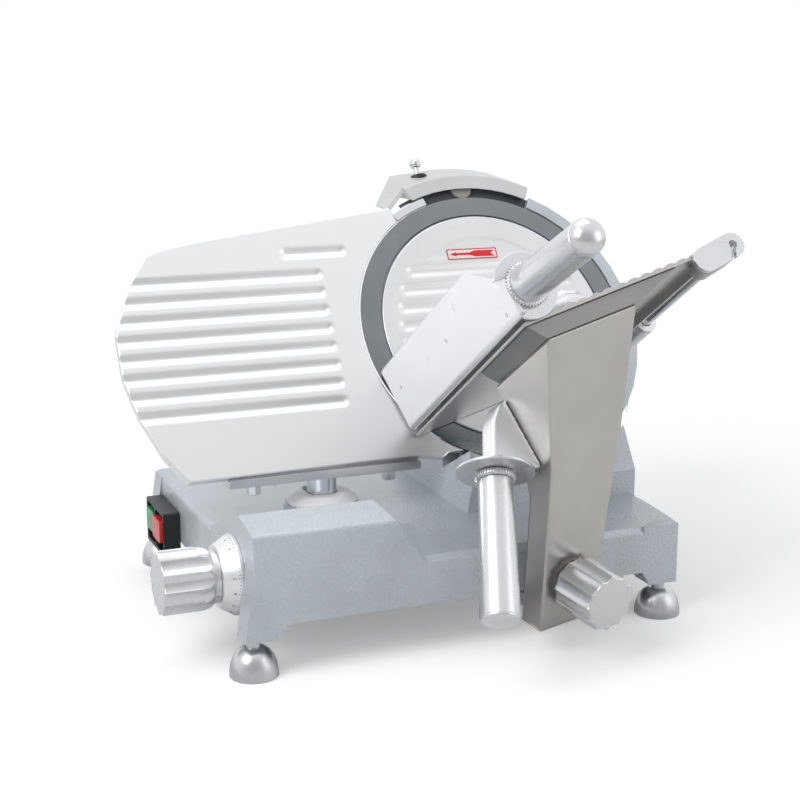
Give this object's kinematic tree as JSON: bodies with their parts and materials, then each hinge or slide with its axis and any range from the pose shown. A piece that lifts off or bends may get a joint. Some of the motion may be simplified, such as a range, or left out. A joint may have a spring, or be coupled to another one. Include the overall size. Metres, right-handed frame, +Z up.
{
  "type": "deli meat slicer",
  "caption": "Gravity-feed slicer: tilted round blade, sliding carriage tray with pusher on a rod, thickness gauge plate moved by a knob, sharpener on top.",
  "frame": {"origin": "centre of the front left foot's underside, on the surface the slicer stands on", "axes": "+X right along the carriage travel, +Y away from the operator, +Z up"},
  "size_m": [0.574, 0.5639, 0.4278],
  "materials": {
    "cast_paint": "silver blue-grey hammertone enamel",
    "chrome": "polished chrome plate",
    "steel": "plain machined steel",
    "stainless": "fine-grained brushed stainless sheet",
    "satin_aluminium": "satin anodised aluminium",
    "cast_aluminium": "fine cast aluminium, lightly polished",
    "blade_steel": "ground chromed carbon steel",
    "light_paint": "smooth light grey enamel",
    "white_plastic": "white moulded plastic",
    "white_aluminium": "smooth white-silver anodised aluminium",
    "black_plastic": "black moulded plastic",
    "belt_rubber": "black ribbed rubber",
    "motor_paint": "dark grey enamel",
    "red_plastic": "red push cap",
    "green_plastic": "green push cap",
    "stone_grit": "bonded abrasive",
    "dark_guard": "dark grey enamel"
  },
  "bodies": {
    "root": {"base_casting": "cast_paint", "foot_front_left": "chrome", "foot_front_right": "chrome", "foot_back_left": "chrome", "foot_back_right": "chrome", "carriage_rail": "steel", "column_collar": "white_plastic", "gauge_guide_rod": "steel", "switch_housing": "black_plastic", "blade_housing": "cast_paint", "belt_cover": "cast_paint", "bearing_back": "steel", "bearing_front": "steel", "drive_belt": "belt_rubber", "motor": "motor_paint", "blade_cover": "satin_aluminium", "sharpener_housing": "light_paint", "sharpening_stone": "stone_grit", "button_collar": "black_plastic", "rim_bracket": "chrome", "lower_guard": "dark_guard"},
    "blade_rotor": {"blade": "blade_steel", "blade_shaft": "steel", "blade_pulley": "cast_aluminium"},
    "motor_rotor": {"motor_pulley": "cast_aluminium"},
    "cover_knob": {"tie_rod_knob": "black_plastic"},
    "thickness_control": {"thickness_knob": "satin_aluminium", "thickness_dial": "satin_aluminium", "knob_shaft": "steel", "scroll_cam": "cast_aluminium"},
    "gauge": {"gauge_plate": "satin_aluminium", "gauge_bar": "steel", "gauge_bolt_left": "steel", "gauge_bolt_right": "steel", "gauge_column": "chrome", "gauge_slider": "cast_aluminium"},
    "sharpener_push": {"sharpener_button": "chrome"},
    "stop_push": {"stop_button": "red_plastic"},
    "start_push": {"start_button": "green_plastic"},
    "carriage": {"carriage_slider": "cast_aluminium", "slider_liner": "white_plastic", "carriage_arm": "stainless", "arm_boss": "steel", "stub_pin": "steel", "tray_cradle": "stainless", "carriage_tray": "stainless", "pusher_rod": "chrome", "end_bracket": "cast_aluminium", "handle_guard": "satin_aluminium", "handle_ring": "cast_aluminium", "carriage_handle": "satin_aluminium", "handle_elbow": "cast_aluminium"},
    "lock_knob": {"carriage_knob": "satin_aluminium"},
    "bush": {"pusher_bush": "cast_aluminium"},
    "pusher": {"pusher_hub": "cast_aluminium", "pusher_block": "white_aluminium", "grip_plate": "satin_aluminium", "pusher_guard": "satin_aluminium", "pusher_ring": "cast_aluminium", "pusher_handle": "satin_aluminium"}
  },
  "joints": [
    {"name": "carriage_slide", "type": "slide", "parent": "root", "child": "carriage", "axis": [1, 0, 0], "range_m": [-0.225, 0.02]},
    {"name": "pusher_slide", "type": "slide", "parent": "carriage", "child": "bush", "axis": [0, -0.8387, 0.5446], "range_m": [0, 0.13]},
    {"name": "pusher_swing", "type": "hinge", "parent": "bush", "child": "pusher", "pos_m": [0.44009, 0.1033, 0.26298], "axis": [0, 0.8387, -0.5446], "range_deg": [0, 110]},
    {"name": "gauge_slide", "type": "slide", "parent": "root", "child": "gauge", "axis": [0, 0.8387, -0.5446], "range_m": [0, 0.015]},
    {"name": "thickness_turn", "type": "hinge", "parent": "root", "child": "thickness_control", "pos_m": [0, 0.05, 0.08], "axis": [1, 0, 0], "range_deg": [0, 300]},
    {"name": "blade_spin", "type": "hinge", "parent": "root", "child": "blade_rotor", "pos_m": [0.334, 0.2, 0.265], "axis": [0, -0.8387, 0.5446], "continuous": true},
    {"name": "motor_spin", "type": "hinge", "parent": "root", "child": "motor_rotor", "pos_m": [0.334, 0.16547, 0.13838], "axis": [0, -0.8387, 0.5446], "continuous": true},
    {"name": "cover_knob_turn", "type": "hinge", "parent": "root", "child": "cover_knob", "pos_m": [0.334, 0.2, 0.265], "axis": [0, 0.8387, -0.5446], "range_deg": [0, 360]},
    {"name": "lock_knob_turn", "type": "hinge", "parent": "carriage", "child": "lock_knob", "pos_m": [0.28874, -0.06305, 0.07184], "axis": [0.2012, -0.9715, -0.1253], "range_deg": [0, 360]},
    {"name": "sharpener_press", "type": "slide", "parent": "root", "child": "sharpener_push", "axis": [0, -0.5446, -0.8387], "range_m": [0, 0.005], "stiffness_N_per_m": 400, "springref_m": -0.004},
    {"name": "stop_press", "type": "slide", "parent": "root", "child": "stop_push", "axis": [1, 0, 0], "range_m": [0, 0.0025], "stiffness_N_per_m": 500, "springref_m": -0.003},
    {"name": "start_press", "type": "slide", "parent": "root", "child": "start_push", "axis": [1, 0, 0], "range_m": [0, 0.0015], "stiffness_N_per_m": 500, "springref_m": -0.003}
  ],
  "couplings": [
    {"joint": "thickness_turn", "follows": "gauge_slide", "rad_per_m": 349},
    {"joint": "motor_spin", "follows": "blade_spin", "ratio": 2}
  ]
}
